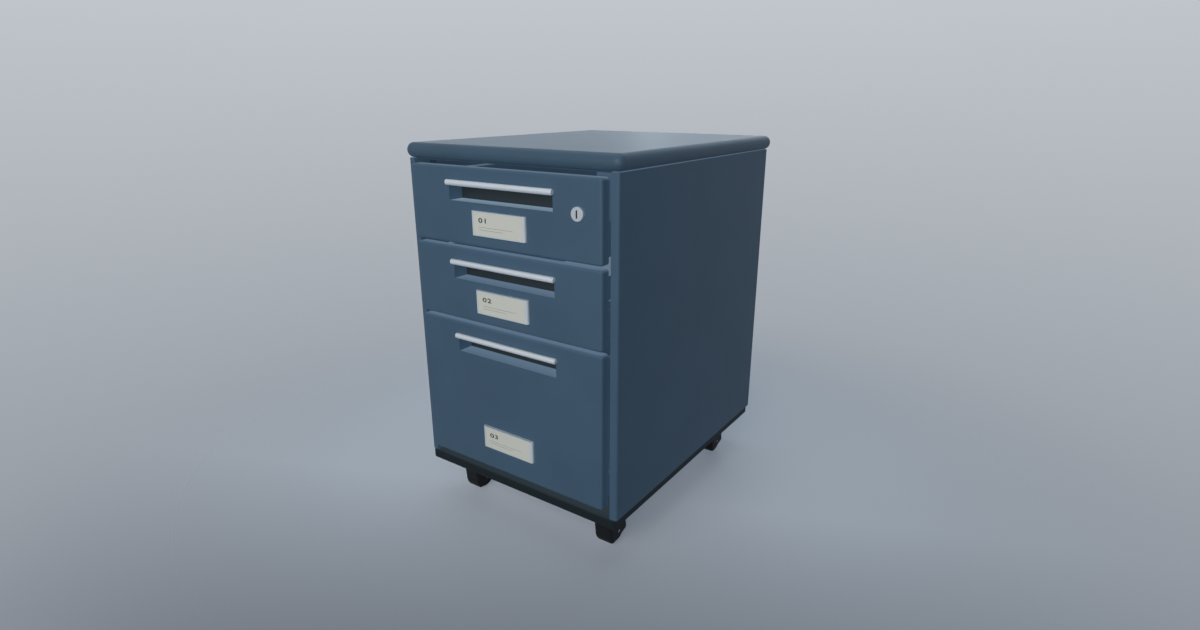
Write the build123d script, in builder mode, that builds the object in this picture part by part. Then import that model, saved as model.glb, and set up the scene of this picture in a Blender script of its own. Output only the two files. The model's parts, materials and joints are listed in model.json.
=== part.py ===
from build123d import *
import os

# A mobile filing cabinet: a steel carcass on a dark base board and four castors, a thick
# bullnose top, two box drawers and a file drawer on telescopic slides, with a cam lock.
# Millimetres. +X is the right side seen from the front, +Y the back, +Z up; the floor is z 0.

# Carcass
body_width = 400.0
body_depth = 498.0
body_height = 517.0
side_thickness = 12.7
side_skin = 1.0
side_edge_radius = 4.0
side_top_radius = 1.5
back_inset = 2.0
back_sheet = 1.0
back_flange = 12.0

# Top
cap_thickness = 23.5
cap_side_overhang = 5.9
cap_front_overhang = 3.9
cap_back_overhang = 5.9
cap_corner_radius = 12.5
cap_edge_radius = 11.5

# Base board
base_thickness = 16.0
base_side_inset = 3.0
base_front_overhang = 2.0
base_back_inset = 3.0
base_corner_radius = 5.0
base_edge_chamfer = 1.2

# Stretchers under the top and brackets on the base
stretcher_width = 40.0
stretcher_sheet = 1.5
stretcher_drop = 16.0
stretcher_ear = 14.0
stretcher_front_distance = 4.0
stretcher_back_distance = 30.0
bracket_length = 30.0
bracket_foot = 20.0
bracket_height = 24.0
bracket_sheet = 2.0
bracket_end_distance = 60.0

# Screws
screw_head_across = 7.0
screw_head_height = 2.2
screw_clearance = 0.03

# Drawer fronts
front_proud = 12.2
front_thickness = 16.0
front_side_gap = 5.6
front_skin = 1.5
front_wall = 3.0
front_corner_radius = 4.5
front_edge_radius = 4.0
top_gap = 7.0
front_gap = 5.3
bottom_gap = 17.5
box_front_height = 117.2

# Finger recess in each front
recess_width = 200.0
recess_top_drop = 26.0
recess_bottom_drop = 50.8
recess_depth = 26.5
recess_wall = 1.5
cup_sheet = 1.5
cup_collar = 5.0
cup_clearance = 0.05

# Pull bar over each recess
bar_diameter = 9.0
bar_length = 204.4
bar_drop = 23.6
bar_flat = 1.5
bar_end_chamfer = 1.2
stud_radius = 2.0
stud_length = 6.0
stud_inset = 17.0
stud_rise = 1.2

# Label holders
label_width = 104.0
label_height = 37.0
label_thickness = 4.8
label_rim = 1.5
label_end_radius = 3.5
label_pocket_depth = 0.9
card_thickness = 0.8
card_clearance = 0.1
box_label_rise = 36.8
file_label_rise = 58.4

# Drawer boxes
box_sheet = 1.0
box_top_drop = 13.0
box_bottom_rise = 8.5
box_back_distance = 43.0
box_hem_width = 2.5
box_hem_height = 5.0
file_rail_sheet = 2.5
file_rail_height = 12.0
file_rail_inset = 10.0
file_rail_drop = 3.0

# Telescopic slides
slide_thickness = 12.7
slide_height = 45.0
slide_sheet = 1.2
slide_clearance = 0.3
slide_curl = 2.8
slide_front = 22.0
slide_back_distance = 36.0
slide_inner_setback = 10.0
slide_rise = 25.0
slide_lip_reach = 9.0
slide_neck_half_height = 12.0

# Cam lock
lock_inset = 38.3
lock_drop = 49.6
lock_collar_radius = 10.0
lock_collar_height = 4.3
lock_collar_chamfer = 0.8
lock_barrel_radius = 8.5
lock_barrel_length = 20.2
lock_plug_radius = 7.0
lock_plug_clearance = 0.05
keyway_width = 1.9
keyway_length = 11.0
keyway_depth = 8.0
nut_across_flats = 22.0
nut_thickness = 4.0
tail_size = 6.0
cam_width = 12.0
cam_reach = 40.0
cam_thickness = 2.0
cam_gap = 0.3

# Gang bar of the lock, inside the right side panel
bar_lift = 8.0
gang_bar_width = 2.5
gang_bar_depth = 10.0
gang_bar_front = 5.5
gang_bar_end_margin = 20.0
lug_thickness = 3.0
lug_depth = 5.0
lug_front = 7.0
lug_reach = 9.3
running_gap = 0.3
slide_clear_gap = 1.0
catch_gap = 1.5
catch_height = 8.0
catch_depth = 6.0
catch_reach = 8.4
cam_notch_margin = 9.0

# Keeper plate behind the top right corner of the top drawer
keeper_sheet = 1.5
keeper_front = 5.0
keeper_width = 26.0
keeper_leg_width = 9.3
keeper_head_height = 15.0
keeper_leg_bottom_margin = 8.0
keeper_flange_depth = 19.0
keeper_flange_height = 38.0

# Castors
castor_height = 73.0
castor_inset = 53.0
castor_axle_distance = 64.5
castor_trail = 15.0
wheel_radius = 20.5
wheel_width = 25.6
wheel_tread_chamfer = 2.2
wheel_hub_radius = 10.0
wheel_groove_radius = 12.2
wheel_rim_radius = 14.5
wheel_groove_depth = 2.5
axle_radius = 3.0
axle_clearance = 0.05
axle_end_setback = 0.6
hood_radius = 23.9
hood_half_width = 16.7
hood_edge_radius = 5.0
hood_shoulder_back = 14.3
hood_shoulder_rise = 19.1
cheek_drop = 9.6
cheek_slope = 0.3
wheel_side_gap = 1.2
wheel_hood_gap = 1.2
crown_radius = 16.7
crown_height = 3.0
castor_plate_size = 58.0
castor_plate_corner = 5.0
castor_plate_sheet = 2.5
castor_bolt_spacing = 44.0
raceway_radius = 18.0
raceway_height = 6.0
kingpin_radius = 4.0
kingpin_clearance = 0.05
kingpin_length = 15.0

# Heights
base_bottom = castor_height
base_top = base_bottom + base_thickness
carcass_top = base_top + body_height
side_inner_x = body_width / 2 - side_thickness
fronts_width = 2 * (side_inner_x - front_side_gap)
lock_x = fronts_width / 2 - lock_inset
recess_height = recess_bottom_drop - recess_top_drop
recess_middle_drop = (recess_bottom_drop + recess_top_drop) / 2

# Depths: the carcass front edge, from the whole depth with the pull bars
bar_reach = bar_diameter - bar_flat
whole_depth = front_proud + bar_reach + body_depth + cap_back_overhang
carcass_front = front_proud + bar_reach - whole_depth / 2
carcass_back = carcass_front + body_depth
carcass_middle_y = (carcass_front + carcass_back) / 2
front_face = carcass_front - front_proud
front_back = front_face + front_thickness
front_inside = front_face + front_skin
recess_back = front_face + recess_depth

os.makedirs("parts", exist_ok=True)


def save(piece, node):
    """Label a finished piece and write it as one file."""
    piece.part.label = node
    export_step(piece.part, f"parts/{node}.step")


# Puts a rectangle on the middle side of a point, by the side of the cabinet it is on
inward = {-1: Align.MIN, 1: Align.MAX}


def upright(y, z=0.0):
    """The vertical plane at depth y: sketch x is X, sketch y is Z, and it faces the front."""
    return Plane(origin=(0, y, z), x_dir=(1, 0, 0), z_dir=(0, -1, 0))


def across(x):
    """The vertical plane at x: sketch x is Y, sketch y is Z, and it faces the right."""
    return Plane.YZ.offset(x)


# Top cap, over the stretchers that hold it
stretcher_ys = [
    carcass_front + stretcher_front_distance + stretcher_width / 2,
    carcass_back - stretcher_back_distance - stretcher_width / 2,
]
cap_screw_xs = [-side_inner_x * 0.75, 0, side_inner_x * 0.75]
cap_screw_points = [(x, y) for x in cap_screw_xs for y in stretcher_ys]
cap_front = carcass_front - cap_front_overhang
cap_back = carcass_back + cap_back_overhang
with BuildPart() as top_cap:
    with BuildSketch(Plane.XY.offset(carcass_top)):
        with Locations((0, (cap_front + cap_back) / 2)):
            RectangleRounded(
                body_width + 2 * cap_side_overhang, cap_back - cap_front, cap_corner_radius
            )
    extrude(amount=cap_thickness)
    bullnose = top_cap.edges().group_by(Axis.Z)[0] + top_cap.edges().group_by(Axis.Z)[-1]
    fillet(bullnose, cap_edge_radius)
save(top_cap, "top_cap")

# Two flat stretchers tie the sides together, with turned-down ends and the cap's screw heads
with BuildPart() as top_stretchers:
    for stretcher_y in stretcher_ys:
        with BuildSketch(Plane.XY.offset(carcass_top)):
            with Locations((0, stretcher_y)):
                Rectangle(2 * side_inner_x, stretcher_width)
        extrude(amount=-stretcher_sheet)
        with BuildSketch(upright(stretcher_y + stretcher_width / 2)):
            for side in (-1, 1):
                with Locations((side * side_inner_x, carcass_top)):
                    Rectangle(stretcher_sheet, stretcher_drop, align=(inward[side], Align.MAX))
        extrude(amount=stretcher_ear)
    with BuildSketch(Plane.XY.offset(carcass_top - stretcher_sheet)):
        with Locations(*cap_screw_points):
            RegularPolygon(screw_head_across / 2, 6, major_radius=False)
    extrude(amount=-screw_head_height)
save(top_stretchers, "top_stretchers")

# Drawers from the top down: number, top and bottom of the front, height of the label
front_tops = [carcass_top - top_gap]
front_tops.append(front_tops[0] - box_front_height - front_gap)
front_tops.append(front_tops[1] - box_front_height - front_gap)
file_front_height = front_tops[2] - base_top - bottom_gap
front_heights = [box_front_height, box_front_height, file_front_height]
label_rises = [box_label_rise, box_label_rise, file_label_rise]
drawer_numbers = [1, 2, 3]

# The lock's gang bar: one lug for the cam and one for the catch of each lower drawer
lock_z = front_tops[0] - lock_drop
slide_zs = []
for top, height in zip(front_tops, front_heights):
    slide_zs.append(top - height + box_bottom_rise + slide_rise)
cam_lug_z = lock_z + cam_width / 2 + running_gap - bar_lift
lug_zs = [cam_lug_z]
for slide_z in slide_zs[1:]:
    lug_zs.append(slide_z + slide_height / 2 + slide_clear_gap)
catch_zs = [lug_z + lug_thickness + catch_gap for lug_z in lug_zs]
lug_start_x = side_inner_x + side_skin + running_gap
lug_end_x = side_inner_x - lug_reach

# Side panels: double-skinned, closed at the top, open onto the base board
for side, side_name in [(-1, "left"), (1, "right")]:
    with BuildPart() as side_panel:
        with BuildSketch(Plane.XY.offset(base_top)) as outline:
            with Locations((side * (side_inner_x + side_thickness / 2), carcass_middle_y)):
                Rectangle(side_thickness, body_depth)
            outer_corners = outline.vertices().group_by(Axis.X)[-1 if side > 0 else 0]
            fillet(outer_corners, side_edge_radius)
        extrude(amount=body_height)
        top_edges = side_panel.faces().sort_by(Axis.Z)[-1].edges()
        fillet(top_edges.sort_by(Axis.X if side > 0 else -Axis.X)[1:], side_top_radius)
        with BuildSketch(Plane.XY.offset(base_top)) as hollow:
            with Locations((side * (side_inner_x + side_thickness / 2), carcass_middle_y)):
                Rectangle(side_thickness - 2 * side_skin, body_depth - 2 * side_skin)
            inner_corners = hollow.vertices().group_by(Axis.X)[-1 if side > 0 else 0]
            fillet(inner_corners, side_edge_radius - side_skin)
        extrude(amount=body_height - 2 * side_skin, mode=Mode.SUBTRACT)
        if side > 0:
            with BuildSketch(across(side_inner_x - side_skin)):
                for lug_z in lug_zs:
                    slot_height = lug_thickness + bar_lift + 2 * running_gap
                    with Locations(
                        (
                            carcass_front + lug_front + lug_depth / 2,
                            lug_z - running_gap + slot_height / 2,
                        )
                    ):
                        Rectangle(lug_depth + 2 * running_gap, slot_height)
            extrude(amount=2 * side_skin + side_skin / 2, mode=Mode.SUBTRACT)
    save(side_panel, f"side_panel_{side_name}")

# Back panel: one sheet with flanges turned forward, set in a little from the back edge
back_face = carcass_back - back_inset
with BuildPart() as back_panel:
    with BuildSketch(upright(back_face)):
        with Locations((0, base_top + body_height / 2)):
            Rectangle(2 * side_inner_x, body_height)
    extrude(amount=back_sheet + back_flange)
    with BuildSketch(upright(back_face - back_sheet)):
        with Locations((0, base_top + body_height / 2)):
            Rectangle(2 * (side_inner_x - back_sheet), body_height - 2 * back_sheet)
    extrude(amount=back_flange, mode=Mode.SUBTRACT)
save(back_panel, "back_panel")

# Base board
castor_x = body_width / 2 - castor_inset
castor_places = [
    ("front_left", -castor_x, carcass_front + castor_axle_distance),
    ("front_right", castor_x, carcass_front + castor_axle_distance),
    ("back_left", -castor_x, carcass_back - castor_axle_distance),
    ("back_right", castor_x, carcass_back - castor_axle_distance),
]
swivel_points = [(x, axle_y - castor_trail) for name, x, axle_y in castor_places]
bolt_half = castor_bolt_spacing / 2
bolt_offsets = [(a, b) for a in (-bolt_half, bolt_half) for b in (-bolt_half, bolt_half)]
castor_bolt_points = [(x + a, y + b) for x, y in swivel_points for a, b in bolt_offsets]
bracket_ys = [carcass_front + bracket_end_distance, carcass_back - bracket_end_distance]
bracket_screw_x = side_inner_x - bracket_foot * 0.6
bracket_screw_points = [(x, y) for x in (-bracket_screw_x, bracket_screw_x) for y in bracket_ys]
base_front = carcass_front - base_front_overhang
base_back = carcass_back - base_back_inset
with BuildPart() as base_board:
    with BuildSketch(Plane.XY.offset(base_bottom)):
        with Locations((0, (base_front + base_back) / 2)):
            RectangleRounded(
                body_width - 2 * base_side_inset, base_back - base_front, base_corner_radius
            )
    extrude(amount=base_thickness)
    arrises = base_board.edges().group_by(Axis.Z)[0] + base_board.edges().group_by(Axis.Z)[-1]
    chamfer(arrises, base_edge_chamfer)
save(base_board, "base_board")

# Four angle brackets hold the sides down on the base board, each with a screw head on its foot
with BuildPart() as corner_brackets:
    for bracket_y in bracket_ys:
        with BuildSketch(upright(bracket_y + bracket_length / 2)):
            for side in (-1, 1):
                with Locations((side * side_inner_x, base_top)):
                    Rectangle(bracket_foot, bracket_sheet, align=(inward[side], Align.MIN))
                    Rectangle(bracket_sheet, bracket_height, align=(inward[side], Align.MIN))
        extrude(amount=bracket_length)
    with BuildSketch(Plane.XY.offset(base_top + bracket_sheet)):
        with Locations(*bracket_screw_points):
            RegularPolygon(screw_head_across / 2, 6, major_radius=False)
    extrude(amount=screw_head_height)
save(corner_brackets, "corner_brackets")


def lipped_corners(back_x, tip_x, half_height):
    """Upper corners of a C-shaped rail: a web at back_x and a lip that curls in at tip_x."""
    curl_x = tip_x + slide_sheet
    lip = half_height - slide_sheet
    curl = lip - slide_curl
    return [
        (back_x, half_height),
        (tip_x, half_height),
        (tip_x, curl),
        (curl_x, curl),
        (curl_x, lip),
        (back_x - slide_sheet, lip),
    ]


# Slide sections, worked out from the side panel inwards
outer_tip_x = side_inner_x - slide_lip_reach
middle_back_x = side_inner_x - slide_sheet - slide_clearance
middle_tip_x = outer_tip_x + slide_sheet + slide_clearance
middle_half_height = slide_height / 2 - slide_sheet - slide_clearance
box_side_x = side_inner_x - slide_thickness
inner_flange_x = middle_tip_x + slide_sheet + slide_clearance
inner_half_height = middle_half_height - slide_sheet - slide_clearance
slide_front_y = carcass_front + slide_front
slide_length = body_depth - slide_front - slide_back_distance
slide_inner_length = slide_length - slide_inner_setback
inner_flange_back = inner_flange_x + slide_sheet
neck_inside = slide_neck_half_height - slide_sheet
inner_corners = [
    (box_side_x, slide_neck_half_height),
    (inner_flange_x, slide_neck_half_height),
    (inner_flange_x, inner_half_height),
    (inner_flange_back, inner_half_height),
    (inner_flange_back, neck_inside),
    (box_side_x + slide_sheet, neck_inside),
]
slide_members = {
    "outer": (lipped_corners(side_inner_x, outer_tip_x, slide_height / 2), slide_length),
    "middle": (lipped_corners(middle_back_x, middle_tip_x, middle_half_height), slide_length),
    "inner": (inner_corners, slide_inner_length),
}
for number, slide_z in zip(drawer_numbers, slide_zs):
    for member, (upper_corners, length) in slide_members.items():
        lower_corners = [(x, -z) for x, z in reversed(upper_corners)]
        with BuildPart() as slide_rail:
            with BuildSketch(upright(slide_front_y + length, slide_z)):
                with BuildLine():
                    Polyline(*upper_corners, *lower_corners, close=True)
                make_face()
            extrude(amount=length)
            mirror(about=Plane.YZ)
        save(slide_rail, f"slide_{member}_{number}")

# Drawer fronts: pressed pans with a finger recess, a pull bar and a label holder
for number, top, height, label_rise in zip(
    drawer_numbers, front_tops, front_heights, label_rises
):
    front_middle_z = top - height / 2
    recess_middle_z = top - recess_middle_drop
    bar_z = top - bar_drop
    stud_x = bar_length / 2 - stud_inset
    stud_z = bar_z + stud_rise
    label_z = top - height + label_rise
    pocket_width = label_width - 2 * (label_end_radius + label_rim)
    pocket_height = label_height - 2 * label_rim

    with BuildPart() as drawer_front:
        with BuildSketch(upright(front_back)):
            with Locations((0, front_middle_z)):
                RectangleRounded(fronts_width, height, front_corner_radius)
        extrude(amount=front_thickness)
        fillet(drawer_front.faces().sort_by(Axis.Y)[0].edges(), front_edge_radius)
        with BuildSketch(upright(front_inside)):
            with Locations((0, front_middle_z)):
                Rectangle(fronts_width - 2 * front_wall, height - 2 * front_wall)
        extrude(amount=front_skin - front_thickness, mode=Mode.SUBTRACT)
        with BuildSketch(upright(recess_back)):
            with Locations((0, recess_middle_z)):
                Rectangle(recess_width + 2 * recess_wall, recess_height + 2 * recess_wall)
        extrude(amount=recess_back - front_inside)
        with BuildSketch(upright(recess_back)):
            with Locations((0, recess_middle_z)):
                Rectangle(recess_width, recess_height)
        extrude(amount=recess_depth, mode=Mode.SUBTRACT)
        with BuildSketch(upright(front_inside)):
            with Locations((-stud_x, stud_z), (stud_x, stud_z)):
                Circle(stud_radius + screw_clearance)
            if number == 1:
                with Locations((lock_x, lock_z)):
                    Circle(lock_barrel_radius + screw_clearance)
        extrude(amount=front_skin, mode=Mode.SUBTRACT)
    save(drawer_front, f"drawer_front_{number}")

    # Dark cup that closes the back of the recess and clips round its collar
    with BuildPart() as finger_cup:
        cup_width = recess_width + 2 * (recess_wall + cup_clearance + cup_sheet)
        cup_height = recess_height + 2 * (recess_wall + cup_clearance + cup_sheet)
        with BuildSketch(upright(recess_back + cup_sheet)):
            with Locations((0, recess_middle_z)):
                Rectangle(cup_width, cup_height)
        extrude(amount=cup_sheet + cup_collar)
        with BuildSketch(upright(recess_back)):
            with Locations((0, recess_middle_z)):
                Rectangle(cup_width - 2 * cup_sheet, cup_height - 2 * cup_sheet)
        extrude(amount=cup_collar, mode=Mode.SUBTRACT)
    save(finger_cup, f"finger_cup_{number}")

    # Round pull bar with a flat back, held by two studs through the front
    with BuildPart() as pull_bar:
        bar_y = front_face - bar_diameter / 2 + bar_flat
        with BuildSketch(across(-bar_length / 2)):
            with Locations((bar_y, bar_z)):
                Circle(bar_diameter / 2)
        extrude(amount=bar_length)
        chamfer(pull_bar.edges().filter_by(GeomType.CIRCLE), bar_end_chamfer)
        split(bisect_by=upright(front_face), keep=Keep.TOP)
        with BuildSketch(upright(front_face)):
            with Locations((-stud_x, stud_z), (stud_x, stud_z)):
                Circle(stud_radius)
        extrude(amount=-stud_length)
    save(pull_bar, f"pull_bar_{number}")

    with BuildPart() as label_holder:
        with BuildSketch(upright(front_face)):
            with Locations((0, label_z)):
                Rectangle(label_width, label_height)
        extrude(amount=label_thickness)
        holder_ends = label_holder.faces().sort_by(Axis.Y)[0].edges().filter_by(Axis.Z)
        fillet(holder_ends, label_end_radius)
        with BuildSketch(upright(front_face - label_thickness)):
            with Locations((0, label_z)):
                Rectangle(pocket_width, pocket_height)
        extrude(amount=-label_pocket_depth, mode=Mode.SUBTRACT)
    save(label_holder, f"label_holder_{number}")

    with BuildPart() as label_card:
        with BuildSketch(upright(front_face - label_thickness + label_pocket_depth)):
            with Locations((0, label_z)):
                Rectangle(pocket_width - 2 * card_clearance, pocket_height - 2 * card_clearance)
        extrude(amount=card_thickness)
    save(label_card, f"label_card_{number}")

# Drawer boxes: folded steel, open at the top, with hemmed sides and a low front flange
box_back_y = carcass_back - box_back_distance
for number, top, height, catch_z in zip(drawer_numbers, front_tops, front_heights, catch_zs):
    box_top = top - box_top_drop
    box_bottom = top - height + box_bottom_rise
    box_height = box_top - box_bottom
    box_length = box_back_y - front_inside
    # The sides run on into the front; the inner front wall closes the back of the front
    pockets = [(front_inside, front_back - box_sheet), (front_back, box_back_y - box_sheet)]
    with BuildPart() as drawer_box:
        with BuildSketch(Plane.XY.offset(box_bottom)):
            with Locations((0, (box_back_y + front_inside) / 2)):
                Rectangle(2 * box_side_x, box_length)
        extrude(amount=box_height)
        with BuildSketch(Plane.XY.offset(box_bottom + box_sheet)):
            for pocket_front, pocket_back in pockets:
                with Locations((0, (pocket_front + pocket_back) / 2)):
                    Rectangle(2 * (box_side_x - box_sheet), pocket_back - pocket_front)
        extrude(amount=box_height, mode=Mode.SUBTRACT)
        with BuildSketch(upright(box_back_y)):
            for side in (-1, 1):
                with Locations((side * box_side_x, box_top)):
                    Rectangle(box_hem_width, box_hem_height, align=(inward[side], Align.MAX))
        extrude(amount=box_length)
        with BuildSketch(upright(front_back)):
            with Locations((0, top - recess_middle_drop)):
                Rectangle(
                    recess_width + 2 * (recess_wall + cup_clearance),
                    recess_height + 2 * (recess_wall + cup_clearance),
                )
            if number == 1:
                with Locations((lock_x, lock_z)):
                    Circle(lock_barrel_radius + screw_clearance)
        extrude(amount=box_sheet, mode=Mode.SUBTRACT)
        if number == 1:
            # Notch in the right side for the swing of the lock's cam
            notch_bottom = lock_z - cam_reach + cam_notch_margin / 2
            notch_back = front_face + lock_barrel_length + cam_thickness + cam_notch_margin
            with BuildSketch(upright(notch_back)):
                with Locations((box_side_x - box_hem_width, notch_bottom)):
                    Rectangle(
                        2 * box_hem_width, box_height, align=(Align.MIN, Align.MIN)
                    )
            extrude(amount=notch_back - front_inside, mode=Mode.SUBTRACT)
        if number > 1:
            # Catch that the gang bar's lug stands in front of when locked
            catch_front = carcass_front + lug_front + lug_depth + running_gap
            with BuildSketch(upright(catch_front + catch_depth)):
                with Locations((box_side_x, catch_z)):
                    Rectangle(catch_reach, catch_height, align=(Align.MIN, Align.MIN))
            extrude(amount=catch_depth)
    save(drawer_box, f"drawer_box_{number}")

# Hanging rails for the folders in the file drawer
rail_top = front_tops[2] - box_top_drop - file_rail_drop
rail_back_y = box_back_y - box_sheet
with BuildPart() as file_rails:
    with BuildSketch(upright(rail_back_y)):
        for side in (-1, 1):
            with Locations((side * (box_side_x - file_rail_inset), rail_top)):
                Rectangle(file_rail_sheet, file_rail_height, align=(Align.CENTER, Align.MAX))
    extrude(amount=rail_back_y - front_back)
save(file_rails, "file_rails")

# Cam lock in the top drawer's front
collar_front = front_face - lock_collar_height
barrel_back = front_face + lock_barrel_length
with BuildPart() as lock_housing:
    with BuildSketch(upright(front_face)):
        with Locations((lock_x, lock_z)):
            Circle(lock_collar_radius)
    extrude(amount=lock_collar_height)
    chamfer(lock_housing.faces().sort_by(Axis.Y)[0].edges(), lock_collar_chamfer)
    with BuildSketch(upright(front_face)):
        with Locations((lock_x, lock_z)):
            Circle(lock_barrel_radius)
    extrude(amount=-lock_barrel_length)
    with BuildSketch(upright(barrel_back)):
        with Locations((lock_x, lock_z)):
            Circle(lock_plug_radius + lock_plug_clearance)
    extrude(amount=lock_barrel_length + lock_collar_height, mode=Mode.SUBTRACT)
save(lock_housing, "lock_housing")

with BuildPart() as lock_nut:
    with BuildSketch(upright(front_inside)):
        with Locations((lock_x, lock_z)):
            RegularPolygon(nut_across_flats / 2, 6, major_radius=False)
            Circle(lock_barrel_radius + screw_clearance, mode=Mode.SUBTRACT)
    extrude(amount=-nut_thickness)
save(lock_nut, "lock_nut")

with BuildPart() as lock_plug:
    plug_back = barrel_back + cam_gap
    with BuildSketch(upright(plug_back)):
        with Locations((lock_x, lock_z)):
            Circle(lock_plug_radius)
    extrude(amount=plug_back - collar_front)
    with BuildSketch(upright(collar_front)):
        with Locations((lock_x, lock_z)):
            Rectangle(keyway_width, keyway_length)
    extrude(amount=-keyway_depth, mode=Mode.SUBTRACT)
    with BuildSketch(upright(plug_back)):
        with Locations((lock_x, lock_z)):
            Rectangle(tail_size, tail_size)
    extrude(amount=-cam_thickness)
save(lock_plug, "lock_plug")

with BuildPart() as lock_cam:
    with BuildSketch(upright(plug_back)):
        with Locations((lock_x, lock_z)):
            Circle(lock_plug_radius)
            Rectangle(cam_width, cam_reach - cam_width / 2, align=(Align.CENTER, Align.MAX))
        with Locations((lock_x, lock_z - cam_reach + cam_width / 2)):
            Circle(cam_width / 2)
        with Locations((lock_x, lock_z)):
            Rectangle(tail_size, tail_size, mode=Mode.SUBTRACT)
    extrude(amount=-cam_thickness)
save(lock_cam, "lock_cam")

# Gang bar that the cam lifts, sliding inside the right side panel
with BuildPart() as gang_bar:
    bar_bottom = min(lug_zs) - gang_bar_end_margin
    bar_top = max(lug_zs) + gang_bar_end_margin
    with BuildSketch(Plane.XY.offset(bar_bottom)):
        with Locations((lug_start_x, carcass_front + gang_bar_front)):
            Rectangle(gang_bar_width, gang_bar_depth, align=(Align.MIN, Align.MIN))
    extrude(amount=bar_top - bar_bottom)
    for lug_z in lug_zs:
        with BuildSketch(Plane.XY.offset(lug_z)):
            with Locations((lug_end_x, carcass_front + lug_front)):
                Rectangle(
                    lug_start_x - lug_end_x + gang_bar_width / 2,
                    lug_depth,
                    align=(Align.MIN, Align.MIN),
                )
        extrude(amount=lug_thickness)
save(gang_bar, "gang_bar")

# Keeper that the cam turns behind: a head under the stretcher, a leg down the side panel
keeper_top = carcass_top - stretcher_sheet
keeper_back = carcass_front + keeper_front + keeper_sheet
with BuildPart() as lock_keeper:
    with BuildSketch(upright(keeper_back)):
        with Locations((side_inner_x, keeper_top)):
            Rectangle(keeper_width, keeper_head_height, align=(Align.MAX, Align.MAX))
            Rectangle(
                keeper_leg_width,
                keeper_top - lock_z + keeper_leg_bottom_margin,
                align=(Align.MAX, Align.MAX),
            )
    extrude(amount=keeper_sheet)
    with BuildSketch(upright(keeper_back + keeper_flange_depth)):
        with Locations((side_inner_x, keeper_top)):
            Rectangle(keeper_sheet, keeper_flange_height, align=(Align.MAX, Align.MAX))
    extrude(amount=keeper_flange_depth)
save(lock_keeper, "lock_keeper")

# Castor plates with their raceways, kingpins and screw heads, under the base board
with BuildPart() as castor_plates:
    with BuildSketch(Plane.XY.offset(base_bottom)) as plate_outline:
        with Locations(*swivel_points):
            Rectangle(castor_plate_size, castor_plate_size)
        chamfer(plate_outline.vertices(), castor_plate_corner)
    extrude(amount=-castor_plate_sheet)
    with BuildSketch(Plane.XY.offset(base_bottom - castor_plate_sheet)):
        with Locations(*castor_bolt_points):
            RegularPolygon(screw_head_across / 2, 6, major_radius=False)
    extrude(amount=-screw_head_height)
    with BuildSketch(Plane.XY.offset(base_bottom - castor_plate_sheet)):
        with Locations(*swivel_points):
            Circle(raceway_radius)
    extrude(amount=-raceway_height)
    with BuildSketch(Plane.XY.offset(base_bottom - castor_plate_sheet - raceway_height)):
        with Locations(*swivel_points):
            Circle(kingpin_radius)
    extrude(amount=-kingpin_length)
save(castor_plates, "castor_plates")

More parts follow.
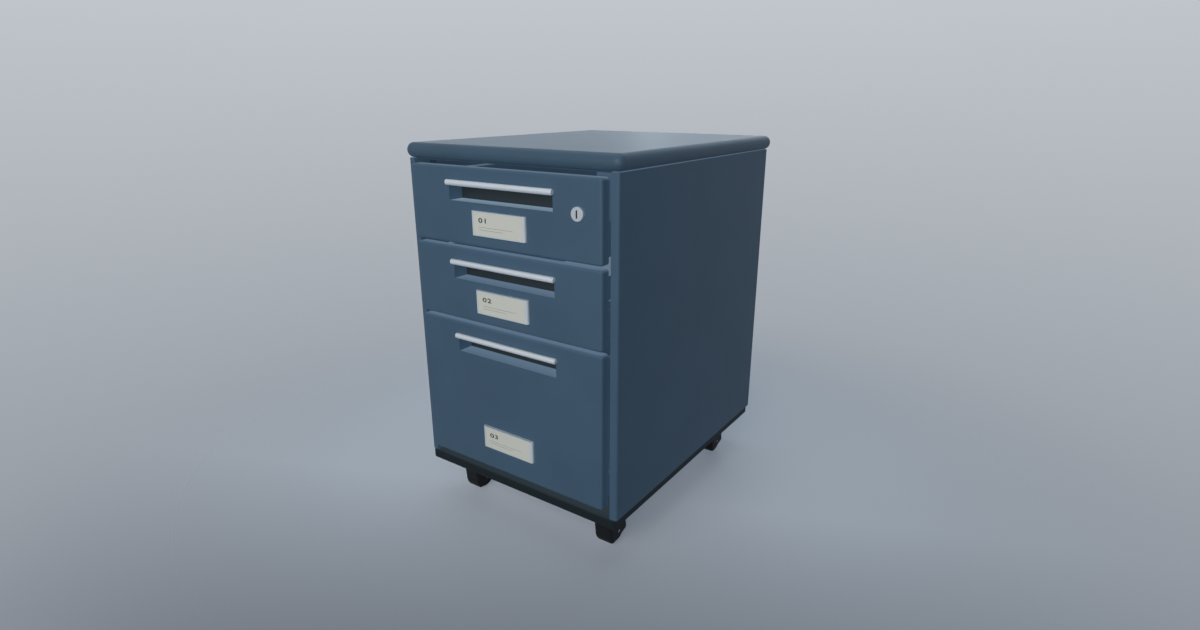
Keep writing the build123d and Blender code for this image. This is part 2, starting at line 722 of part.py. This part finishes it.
# Castors: a hooded fork that swivels, its axle and its wheel
crown_top = base_bottom - castor_plate_sheet - raceway_height - running_gap
cavity_half_width = wheel_width / 2 + wheel_side_gap
cavity_radius = wheel_radius + wheel_hood_gap
wheel_side = wheel_width / 2
wheel_profile = [
    (wheel_side, axle_radius + axle_clearance),
    (wheel_side, wheel_hub_radius),
    (wheel_side - wheel_groove_depth, wheel_groove_radius),
    (wheel_side, wheel_rim_radius),
    (wheel_side, wheel_radius - wheel_tread_chamfer),
    (wheel_side - wheel_tread_chamfer, wheel_radius),
]
wheel_other_side = [(-distance, radius) for distance, radius in reversed(wheel_profile)]
for place, castor_centre_x, axle_y in castor_places:
    axle_z = wheel_radius
    swivel_y = axle_y - castor_trail
    neck_front = swivel_y - crown_radius + crown_height
    neck_back = swivel_y + crown_radius - crown_height

    with BuildPart() as castor_fork:
        with BuildSketch(across(castor_centre_x)):
            with Locations((axle_y, axle_z)):
                Circle(hood_radius)
            with BuildLine():
                Polyline(
                    (neck_front, crown_top),
                    (neck_back, crown_top),
                    (axle_y + hood_shoulder_back, axle_z + hood_shoulder_rise),
                    (axle_y, axle_z),
                    (axle_y - hood_radius, axle_z),
                    close=True,
                )
            make_face()
        extrude(amount=hood_half_width, both=True)
        cheek_edges = castor_fork.faces().filter_by(Axis.X).edges().sort_by(Axis.Z)
        fillet(cheek_edges[:-2], hood_edge_radius)
        with BuildSketch(Plane.XY.offset(crown_top)):
            with Locations((castor_centre_x, swivel_y)):
                Circle(crown_radius)
        extrude(amount=-crown_height)
        # Space for the wheel, open to the back
        with BuildSketch(across(castor_centre_x)):
            with Locations((axle_y, axle_z)):
                Circle(cavity_radius)
                Rectangle(
                    2 * hood_radius, 2 * hood_radius, align=(Align.MIN, Align.MAX)
                )
        extrude(amount=cavity_half_width, both=True, mode=Mode.SUBTRACT)
        # The cheeks end on a slant below the axle, higher at the back
        cheek_fall = cheek_slope * 2 * hood_radius
        with BuildSketch(across(castor_centre_x)):
            with BuildLine():
                Polyline(
                    (axle_y - 2 * hood_radius, axle_z - cheek_drop - cheek_fall),
                    (axle_y + 2 * hood_radius, axle_z - cheek_drop + cheek_fall),
                    (axle_y + 2 * hood_radius, axle_z - 2 * hood_radius),
                    (axle_y - 2 * hood_radius, axle_z - 2 * hood_radius),
                    close=True,
                )
            make_face()
        extrude(amount=2 * hood_half_width, both=True, mode=Mode.SUBTRACT)
        with BuildSketch(across(castor_centre_x)):
            with Locations((axle_y, axle_z)):
                Circle(axle_radius + screw_clearance)
        extrude(amount=2 * hood_half_width, both=True, mode=Mode.SUBTRACT)
        with BuildSketch(Plane.XY.offset(crown_top)):
            with Locations((castor_centre_x, swivel_y)):
                Circle(kingpin_radius + kingpin_clearance)
        extrude(amount=-kingpin_length, mode=Mode.SUBTRACT)
    save(castor_fork, f"castor_fork_{place}")

    with BuildPart() as castor_axle:
        with BuildSketch(across(castor_centre_x)):
            with Locations((axle_y, axle_z)):
                Circle(axle_radius)
        extrude(amount=hood_half_width - axle_end_setback, both=True)
    save(castor_axle, f"castor_axle_{place}")

    with BuildPart() as castor_wheel:
        wheel_centre = (castor_centre_x, axle_y, axle_z)
        with BuildSketch(Plane(origin=wheel_centre, x_dir=(1, 0, 0), z_dir=(0, 0, 1))):
            with BuildLine():
                Polyline(*wheel_profile, *wheel_other_side, close=True)
            make_face()
        revolve(axis=Axis(wheel_centre, (1, 0, 0)))
    save(castor_wheel, f"castor_wheel_{place}")
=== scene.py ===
import json
import math

import bpy
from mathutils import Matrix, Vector


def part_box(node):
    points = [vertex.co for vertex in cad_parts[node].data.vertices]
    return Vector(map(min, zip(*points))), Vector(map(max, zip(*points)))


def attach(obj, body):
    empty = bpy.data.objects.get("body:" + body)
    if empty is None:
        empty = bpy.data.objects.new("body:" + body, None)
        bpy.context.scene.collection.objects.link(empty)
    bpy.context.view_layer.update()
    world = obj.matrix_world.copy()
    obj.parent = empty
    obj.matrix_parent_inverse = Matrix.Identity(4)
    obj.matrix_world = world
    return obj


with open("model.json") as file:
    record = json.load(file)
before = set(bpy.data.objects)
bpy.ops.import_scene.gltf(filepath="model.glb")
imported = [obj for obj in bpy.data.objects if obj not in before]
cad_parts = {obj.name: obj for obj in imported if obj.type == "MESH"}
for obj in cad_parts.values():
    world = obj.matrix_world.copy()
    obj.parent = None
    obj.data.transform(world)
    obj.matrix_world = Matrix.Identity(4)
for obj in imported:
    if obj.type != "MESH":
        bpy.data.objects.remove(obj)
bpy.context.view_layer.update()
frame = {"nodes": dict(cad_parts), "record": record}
nodes = frame["nodes"]
collection = bpy.context.scene.collection
MM = 0.001


# Nodes

def feed(tree, socket, value):
    """Link another node's output to a socket, or set the socket to a number or a colour."""
    if isinstance(value, bpy.types.NodeSocket):
        tree.links.new(value, socket)
    elif isinstance(value, float):
        socket.default_value = value
    else:
        socket.default_value = (*value, 1.0)


def calculated(tree, operation, first, second):
    """The result of a Math node. Each side is a number or another node's output."""
    node = tree.nodes.new("ShaderNodeMath")
    node.operation = operation
    feed(tree, node.inputs[0], first)
    feed(tree, node.inputs[1], second)
    return node.outputs["Value"]


def mixed(tree, factor, first, second):
    """Two colours mixed by a factor. Each is a colour or another node's output."""
    node = tree.nodes.new("ShaderNodeMix")
    node.data_type = "RGBA"
    feed(tree, node.inputs["A"], first)
    feed(tree, node.inputs["B"], second)
    feed(tree, node.inputs["Factor"], factor)
    return node.outputs["Result"]


def mapped(tree, value, source=(0.0, 1.0), target=(0.0, 1.0), smooth=False):
    """A value mapped from the source range to the target range, and held at both ends."""
    node = tree.nodes.new("ShaderNodeMapRange")
    if smooth:
        node.interpolation_type = "SMOOTHSTEP"
    for name, limit in zip(("From Min", "From Max", "To Min", "To Max"), (*source, *target)):
        node.inputs[name].default_value = limit
    feed(tree, node.inputs["Value"], value)
    return node.outputs["Result"]


def ramp(tree, value, first, second, places=(0.0, 1.0)):
    """A colour that runs from the first to the second while the value runs between two places."""
    node = tree.nodes.new("ShaderNodeValToRGB")
    for element, place, colour in zip(node.color_ramp.elements, places, (first, second)):
        element.position = place
        element.color = (*colour, 1.0)
    feed(tree, node.inputs["Fac"], value)
    return node.outputs["Color"]


def noise(tree, coordinates, scale, detail, stretch):
    """A noise texture in object space, scale features to the metre, stretched along the axes."""
    mapping = tree.nodes.new("ShaderNodeMapping")
    mapping.inputs["Scale"].default_value = stretch
    feed(tree, mapping.inputs["Vector"], coordinates)
    texture = tree.nodes.new("ShaderNodeTexNoise")
    texture.inputs["Scale"].default_value = scale
    texture.inputs["Detail"].default_value = detail
    feed(tree, texture.inputs["Vector"], mapping.outputs["Vector"])
    return texture.outputs["Fac"]


def bump(tree, shader, height, relief):
    """Fine relief from a texture, its height in metres."""
    node = tree.nodes.new("ShaderNodeBump")
    node.inputs["Distance"].default_value = relief
    feed(tree, node.inputs["Height"], height)
    feed(tree, shader.inputs["Normal"], node.outputs["Normal"])


# Materials

# How near the walls of a gap or of a drawer box are, in metres, for the painted gap light to count
# such walls
gap_reach = 0.12
box_reach = 0.6
gap_samples = 8
# Textures: large patches of colour, and the fine grain of a surface
unstretched = (1.0, 1.0, 1.0)
patches_per_metre = 9.0
patch_detail = 2.0
patch_edges = (0.35, 0.65)
grain_detail = 3.0
grain_range = (0.3, 0.7)
roughness_change = 0.05


def srgb(red, green, blue):
    """A colour given as 0 to 255 screen values, as linear values."""
    channels = []
    for value in (red, green, blue):
        value = value / 255.0
        channels.append(value / 12.92 if value <= 0.04045 else ((value + 0.055) / 1.055) ** 2.4)
    return channels


def new_material(name):
    """A material with its tree, its shader node and its object coordinates."""
    material = bpy.data.materials.new(name)
    material.use_nodes = True
    tree = material.node_tree
    coordinates = tree.nodes.new("ShaderNodeTexCoord").outputs["Object"]
    return material, tree, tree.nodes["Principled BSDF"], coordinates


def paint_gap_light(tree, shader, side, top, reach=gap_reach, pale=None):
    """Painted light: a weak emission glow where other surfaces close a place in, standing in for
    the light that shows in gaps.

    Its level runs from side, on upright faces, to top, on faces that look up, which also take on
    the pale colour as painted light. Surfaces farther away than reach don't count.
    """
    occlusion = tree.nodes.new("ShaderNodeAmbientOcclusion")
    occlusion.samples = gap_samples
    occlusion.inputs["Distance"].default_value = reach
    closed = calculated(tree, "SUBTRACT", 1.0, occlusion.outputs["AO"])
    geometry = tree.nodes.new("ShaderNodeNewGeometry")
    facing = tree.nodes.new("ShaderNodeSeparateXYZ")
    feed(tree, facing.inputs["Vector"], geometry.outputs["Normal"])
    upward = facing.outputs["Z"]
    level = mapped(tree, upward, target=(side, top))
    feed(tree, shader.inputs["Emission Strength"], calculated(tree, "MULTIPLY", closed, level))
    colour = shader.inputs["Base Color"].links[0].from_socket
    if pale:
        colour = mixed(tree, upward, colour, pale)
    feed(tree, shader.inputs["Emission Color"], colour)


def surface(name, colour, roughness, grain, relief, vary=0.04, metallic=0.0, specular=0.5,
            stretch=unstretched, fill=None):
    """A material with a fine grain, patches of slightly other colour and an uneven roughness."""
    material, tree, shader, coordinates = new_material(name)
    patches = noise(tree, coordinates, patches_per_metre, patch_detail, unstretched)
    fine = noise(tree, coordinates, grain, grain_detail, stretch)
    darker = [channel * (1.0 - vary) for channel in colour]
    lighter = [min(1.0, channel * (1.0 + vary)) for channel in colour]
    feed(tree, shader.inputs["Base Color"], ramp(tree, patches, darker, lighter, patch_edges))
    limits = (roughness - roughness_change, roughness + roughness_change)
    feed(tree, shader.inputs["Roughness"], mapped(tree, fine, grain_range, limits))
    bump(tree, shader, fine, relief)
    shader.inputs["Metallic"].default_value = metallic
    shader.inputs["Specular IOR Level"].default_value = specular
    # Painted light: a glow in closed-in places, lighter on faces that look up
    if fill:
        paint_gap_light(tree, shader, **fill)
    return material


def paint(name, colour, fill, roughness=0.5, specular=0.2):
    """Finely textured powder coat."""
    return surface(
        name, colour, roughness, grain=1100.0, relief=0.04 * MM, specular=specular, fill=fill
    )


def mark(name, colour, roughness):
    """Ink, or a dark colour that paints the shade of a slot."""
    return surface(name, colour, roughness, grain=900.0, relief=0.005 * MM, vary=0.02)


steel_blue = srgb(57, 79, 98)
# Painted light: each fill below adds a weak glow where surfaces close a place in, lighter and paler
# on faces that look up
body_paint = paint("body_paint", steel_blue, dict(side=0.5, top=1.15, pale=srgb(86, 105, 124)))
# Painted highlight: a lit copy of the body paint, its glow stronger on faces that look up
lit_front_paint = paint("lit_front_paint", steel_blue, dict(side=0.5, top=1.8, pale=srgb(90, 107, 120)))
box_paint = paint("box_paint", steel_blue, dict(side=0.5, top=0.6, reach=box_reach))
# Painted highlight: a lit copy of the box paint, brighter and paler on faces that look up
lit_box_paint = paint(
    "lit_box_paint", steel_blue,
    dict(side=0.5, top=1.2, reach=box_reach, pale=srgb(92, 107, 122)),
)
# Painted highlight: a pale paint for the strips along the boxes' upper edges
edge_highlight_paint = paint("edge_highlight_paint", srgb(146, 168, 188), dict(side=0.6, top=0.8))
# Painted shade: a darker copy of the body paint for the stretchers that lie in shade under the top
shaded_frame_paint = paint("shaded_frame_paint", srgb(35, 48, 61), dict(side=1.0, top=1.0), roughness=0.55)
top_paint = paint(
    "top_paint", srgb(52, 74, 91), dict(side=0.3, top=1.0), roughness=0.46, specular=0.26
)
base_black = surface(
    "base_black", srgb(18, 27, 31), roughness=0.55, grain=900.0, relief=0.06 * MM, specular=0.15,
    fill=dict(side=0.5, top=2.2, pale=srgb(29, 36, 41)),
)
cup_black = surface(
    "cup_black", srgb(30, 39, 43), roughness=0.55, grain=700.0, relief=0.06 * MM, specular=0.25,
    fill=dict(side=0.4, top=0.8),
)
bar_metal = surface(
    "bar_metal", srgb(197, 203, 208), roughness=0.36, grain=500.0, relief=0.01 * MM, vary=0.01,
    metallic=0.3, stretch=(0.04, 1.0, 1.0),
)
label_plastic = surface(
    "label_plastic", srgb(172, 180, 186), roughness=0.4, grain=900.0, relief=0.02 * MM, vary=0.01
)
card_paper = surface(
    "card_paper", srgb(182, 183, 174), roughness=0.75, grain=1800.0, relief=0.03 * MM, vary=0.01
)
lock_nickel = surface(
    "lock_nickel", srgb(177, 184, 191), roughness=0.34, grain=900.0, relief=0.01 * MM, vary=0.01,
    metallic=0.3,
)
zinc_steel = surface(
    "zinc_steel", srgb(176, 180, 184), roughness=0.34, grain=260.0, relief=0.01 * MM, vary=0.05,
    metallic=1.0, fill=dict(side=0.07, top=0.16),
)
castor_plastic = surface(
    "castor_plastic", srgb(16, 18, 20), roughness=0.5, grain=800.0, relief=0.05 * MM, specular=0.16
)
castor_tyre = surface(
    "castor_tyre", srgb(10, 10, 10), roughness=0.65, grain=600.0, relief=0.05 * MM, specular=0.2
)
castor_hub = surface(
    "castor_hub", srgb(150, 154, 156), roughness=0.4, grain=800.0, relief=0.03 * MM, vary=0.02
)
ink = mark("ink", srgb(24, 27, 30), 0.7)
rule_grey = mark("rule_grey", srgb(96, 98, 97), 0.75)
# Painted shade: a near-black for the keyway
keyway_shade = mark("keyway_shade", srgb(8, 9, 10), 0.8)

slot_materials = {
    "body_paint": body_paint,
    "top_board": top_paint,
    "base_black": base_black,
    "cup_black": cup_black,
    "pull_bar": bar_metal,
    "label_plastic": label_plastic,
    "card": card_paper,
    "lock_nickel": lock_nickel,
    "zinc_steel": zinc_steel,
    "castor_plastic": castor_plastic,
    "castor_tyre": castor_tyre,
}
# Nodes whose look differs from the rest of their slot: lit copies of the paint (painted highlight) on
# the first front and the second box, a darker copy (painted shade) on the top stretchers
node_materials = {
    "drawer_front_1": lit_front_paint,
    "drawer_box_1": box_paint,
    "drawer_box_2": lit_box_paint,
    "drawer_box_3": box_paint,
    "top_stretchers": shaded_frame_paint,
    "lock_keeper": body_paint,
    "gang_bar": box_paint,
}
for entry in frame["record"]["subparts"]:
    slot_look = slot_materials[entry["material_slot"]]
    for place in nodes[entry["node"]].material_slots:
        place.material = node_materials.get(entry["node"], slot_look)


# Pieces

smooth_below = math.radians(35.0)


def mesh_piece(name, vertices, faces, material, body, slot_name):
    """A mesh that rides on a body and takes the finish of a slot."""
    mesh = bpy.data.meshes.new(name)
    mesh.from_pydata(vertices, [], faces)
    mesh.update()
    mesh.shade_smooth()
    mesh.set_sharp_from_angle(angle=smooth_below)
    mesh.materials.append(material)
    piece = bpy.data.objects.new(name, mesh)
    collection.objects.link(piece)
    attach(piece, body)


def turned(section, centre, side, count=48):
    """Vertices and faces of a section (radius, distance out) turned about the X axis."""
    vertices, faces = [], []
    for radius, out in section:
        for step in range(count):
            angle = 2 * math.pi * step / count
            rim = Vector((0.0, math.cos(angle), math.sin(angle)))
            vertices.append(centre + Vector((side * out, 0.0, 0.0)) + rim * radius)
    for ring in range(len(section) - 1):
        for step in range(count):
            after = (step + 1) % count
            low = ring * count
            high = low + count
            face = (low + step, low + after, high + after, high + step)
            faces.append(face if side > 0 else face[::-1])
    return vertices, faces


def plate(low, high, chamfer):
    """Vertices and faces of a thin upright plate whose front edges are chamfered."""
    (x0, y0, z0), (x1, y1, z1) = low, high
    vertices = []
    for y, inset in ((y1, 0.0), (y0 + chamfer, 0.0), (y0, chamfer)):
        vertices += [(x0 + inset, y, z0 + inset), (x1 - inset, y, z0 + inset),
                     (x1 - inset, y, z1 - inset), (x0 + inset, y, z1 - inset)]
    faces = [(0, 1, 2, 3), (11, 10, 9, 8)]
    for ring in (0, 4):
        for step in range(4):
            after = (step + 1) % 4
            faces.append((ring + step, ring + 4 + step, ring + 4 + after, ring + after))
    return vertices, faces


def block(low, high):
    """Vertices and faces of a closed block between two corners."""
    (x0, y0, z0), (x1, y1, z1) = low, high
    vertices = [(x0, y0, z0), (x1, y0, z0), (x1, y1, z0), (x0, y1, z0),
                (x0, y0, z1), (x1, y0, z1), (x1, y1, z1), (x0, y1, z1)]
    faces = [(3, 2, 1, 0), (4, 5, 6, 7), (0, 1, 5, 4), (1, 2, 6, 5), (2, 3, 7, 6), (3, 0, 4, 7)]
    return vertices, faces


# Pale hub caps in the dishes of the castor wheels: a boss about the axle, a shallow dish, a rim
hub_hole_radius = 3.4 * MM
boss_radius = 6.0 * MM
boss_proud = 0.1 * MM
dish_radii = (6.8 * MM, 10.2 * MM)
dish_depths = (0.4 * MM, 0.5 * MM)
rim_radius = 11.6 * MM
rim_depth = 0.8 * MM
cap_radius = 12.2 * MM
cap_depths = (1.5 * MM, 2.5 * MM)
hub_outline = [
    (hub_hole_radius, boss_proud), (boss_radius, boss_proud), (dish_radii[0], -dish_depths[0]),
    (dish_radii[1], -dish_depths[1]), (rim_radius, -rim_depth), (cap_radius, -cap_depths[0]),
    (cap_radius, -cap_depths[1]),
]
for place in ("front_left", "front_right", "back_left", "back_right"):
    low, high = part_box(f"castor_wheel_{place}")
    centre = (Vector(low) + Vector(high)) / 2
    wheel_side = (high[0] - low[0]) / 2
    section = [(radius, wheel_side + height) for radius, height in hub_outline]
    for name, side in (("left", -1), ("right", 1)):
        mesh_piece(
            f"hub_{place}_{name}", *turned(section, centre, side), castor_hub,
            f"wheel_{place}", "castor_plastic",
        )


# Number and two thin ruled lines on each card
text_inset = 9.5 * MM
number_drop = 14.8 * MM
number_height = 10.0 * MM
number_stretch = 1.7
number_spacing = 1.15
number_weight = 0.2 * MM
number_thickness = 0.04 * MM
number_proud = 0.03 * MM
rule_drops = (21.5 * MM, 25.5 * MM)
rule_shares = (0.72, 0.52)
rule_width = 0.45 * MM
rule_proud = 0.06 * MM
rule_chamfer = 0.02 * MM


def number_mesh(number):
    """The mesh of a two-digit number that lies flat, its first digit's foot at the origin."""
    letters = bpy.data.curves.new(f"number_{number}", "FONT")
    letters.body = f"0{number}"
    letters.size = number_height
    letters.offset = number_weight
    letters.extrude = number_thickness
    letters.space_character = number_spacing
    writer = bpy.data.objects.new(f"writer_{number}", letters)
    collection.objects.link(writer)
    bpy.context.view_layer.update()
    mesh = bpy.data.meshes.new_from_object(writer)
    bpy.data.objects.remove(writer)
    return mesh


for number in (1, 2, 3):
    low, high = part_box(f"label_card_{number}")
    text_start = low[0] + text_inset
    foot = high[2] - number_drop
    flat = number_mesh(number)
    vertices = [
        (text_start + v.co.x * number_stretch, low[1] - number_proud - v.co.z, foot + v.co.y)
        for v in flat.vertices
    ]
    faces = [tuple(reversed(face.vertices)) for face in flat.polygons]
    mesh_piece(f"number_{number}", vertices, faces, ink, f"drawer_{number}", "card")
    for line, (drop, share) in enumerate(zip(rule_drops, rule_shares), start=1):
        rule_top = high[2] - drop
        rule_end = text_start + (high[0] - low[0]) * share
        vertices, faces = plate(
            (text_start, low[1] - rule_proud, rule_top - rule_width),
            (rule_end, low[1], rule_top), rule_chamfer,
        )
        mesh_piece(
            f"rule_{number}_{line}", vertices, faces, rule_grey, f"drawer_{number}", "card"
        )


# Painted highlight: pale strips along the folded upper edges of each box's sides
edge_highlight_width = 2.5 * MM
edge_highlight_height = 2.2 * MM
edge_highlight_proud = 0.05 * MM
edge_highlight_front_setback = 42.0 * MM
edge_highlight_back_setback = 1.0 * MM
for number in (1, 2, 3):
    low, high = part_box(f"drawer_box_{number}")
    for side, outer in (("left", low[0]), ("right", high[0] - edge_highlight_width)):
        vertices, faces = block(
            (outer - edge_highlight_proud, low[1] + edge_highlight_front_setback, high[2] - edge_highlight_height),
            (outer + edge_highlight_width + edge_highlight_proud, high[1] - edge_highlight_back_setback, high[2] + edge_highlight_proud),
        )
        mesh_piece(
            f"edge_highlight_{number}_{side}", vertices, faces, edge_highlight_paint, f"drawer_{number}", "body_paint"
        )


# Painted shade: a dark plate inside the keyway, just in front of the plug's metal
keyway_shade_half_width = 1.3 * MM
keyway_shade_half_length = 5.5 * MM
keyway_shade_depth = 2.0 * MM
keyway_shade_proud = 0.02 * MM
keyway_shade_chamfer = 0.01 * MM
low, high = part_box("lock_plug")
key_x = (low[0] + high[0]) / 2
key_z = (low[2] + high[2]) / 2
vertices, faces = plate(
    (key_x - keyway_shade_half_width, low[1] - keyway_shade_proud, key_z - keyway_shade_half_length),
    (key_x + keyway_shade_half_width, low[1] + keyway_shade_depth, key_z + keyway_shade_half_length), keyway_shade_chamfer,
)
mesh_piece("keyway_shade_plate", vertices, faces, keyway_shade, "lock_turn", "lock_nickel")


# Floor

floor_half = 6.0
floor_far = srgb(179, 182, 187)
floor_near = srgb(116, 119, 126)
# Painted light: the tint of the glow that lightens the floor's shadow
floor_shadow_glow = srgb(150, 164, 182)
toward_front = (0.4, -0.917, 0.0)
darkening = (0.1, 0.55)
fading = (0.3, 1.2)
shadow_reach = 0.5
floor_roughness = 0.8
floor_specular = 0.1

floor_mesh = bpy.data.meshes.new("floor")
floor_corners = [(x * floor_half, y * floor_half, 0) for x, y in ((-1, -1), (1, -1), (1, 1), (-1, 1))]
floor_mesh.from_pydata(floor_corners, [], [(0, 1, 2, 3)])
floor = bpy.data.objects.new("floor", floor_mesh)
collection.objects.link(floor)
floor_material, tree, shader, coordinates = new_material("floor")
floor_mesh.materials.append(floor_material)

# It darkens toward the front, as the floor in the photograph does
forward = tree.nodes.new("ShaderNodeVectorMath")
forward.operation = "DOT_PRODUCT"
forward.inputs[1].default_value = toward_front
feed(tree, forward.inputs[0], coordinates)
nearness = mapped(tree, forward.outputs["Value"], darkening)
feed(tree, shader.inputs["Base Color"], ramp(tree, nearness, floor_far, floor_near))
# Painted light: a weak glow that lightens the floor where the cabinet closes it in, softening its
# shadow
paint_gap_light(tree, shader, side=0.0, top=0.4, reach=shadow_reach, pale=floor_shadow_glow)
shader.inputs["Roughness"].default_value = floor_roughness
shader.inputs["Specular IOR Level"].default_value = floor_specular

# It fades out with distance from the cabinet, so no horizon shows
distance = tree.nodes.new("ShaderNodeVectorMath")
distance.operation = "LENGTH"
feed(tree, distance.inputs[0], coordinates)
shown = mapped(tree, distance.outputs["Value"], fading, (1.0, 0.0), smooth=True)
feed(tree, shader.inputs["Alpha"], shown)


# World: a grey backdrop where it is seen, also in metal, and a plain level of light elsewhere

backdrop_low = srgb(127, 134, 144)
backdrop_high = srgb(193, 198, 204)
backdrop_rise = (-0.68, 0.12)
ambient = (0.205, 0.26, 0.312)

world = bpy.data.worlds.new("studio")
bpy.context.scene.world = world
world.use_nodes = True
tree = world.node_tree
split = tree.nodes.new("ShaderNodeSeparateXYZ")
feed(tree, split.inputs["Vector"], tree.nodes.new("ShaderNodeTexCoord").outputs["Generated"])
rise = mapped(tree, split.outputs["Z"], backdrop_rise)
backdrop = ramp(tree, rise, backdrop_low, backdrop_high)
rays = tree.nodes.new("ShaderNodeLightPath").outputs
seen = calculated(tree, "MAXIMUM", rays["Is Camera Ray"], rays["Is Glossy Ray"])
seen = calculated(tree, "MAXIMUM", seen, rays["Is Transmission Ray"])
sky = mixed(tree, seen, ambient, backdrop)
feed(tree, tree.nodes["Background"].inputs["Color"], sky)


# Lights

warm = (1.0, 0.965, 0.93)
cool = (0.8, 0.92, 1.0)
white = (1.0, 1.0, 1.0)


def soft_light(name, place, aim, size, energy, colour):
    """A rectangular soft light, its size in metres and its energy in watts, aimed at a point."""
    lamp = bpy.data.lights.new(name, "AREA")
    lamp.shape = "RECTANGLE"
    lamp.size, lamp.size_y = size
    lamp.energy = energy
    lamp.color = colour
    holder = bpy.data.objects.new(name, lamp)
    collection.objects.link(holder)
    holder.location = place
    holder.rotation_euler = (Vector(aim) - Vector(place)).to_track_quat("-Z", "Y").to_euler()


soft_light("key", (0.5, -2.3, 1.1), (0, -0.1, 0.3), (2.4, 2.0), 50.5, warm)
soft_light("overhead", (-0.2, 0.3, 2.7), (0, 0, 0.6), (2.2, 2.2), 20.0, cool)
soft_light("back_wall_right", (-0.6, 2.8, 1.15), (-0.2, 0, 0.6), (2.0, 1.9), 15.0, cool)
soft_light("back_wall_left", (-4.2, 2.5, 1.15), (-0.8, 0, 0.6), (5.6, 1.9), 40.0, cool)
soft_light("back_fill", (-1.5, 1.9, 0.3), (0, 0.1, 0.3), (1.8, 0.5), 13.0, white)


# Camera, fitted to the photograph

camera_place = (0.6777, -0.9736, 0.6977)
camera_tilt = math.radians(72.12)
camera_turn = math.radians(34.77)
camera_data = bpy.data.cameras.new("camera")
camera_data.sensor_width = 36.0
camera_data.lens = 20.307
camera_data.clip_start = 0.01
camera = bpy.data.objects.new("camera", camera_data)
collection.objects.link(camera)
camera.location = camera_place
camera.rotation_euler = (camera_tilt, 0.0, camera_turn)
bpy.context.scene.camera = camera
bpy.context.scene.view_settings.view_transform = "Standard"
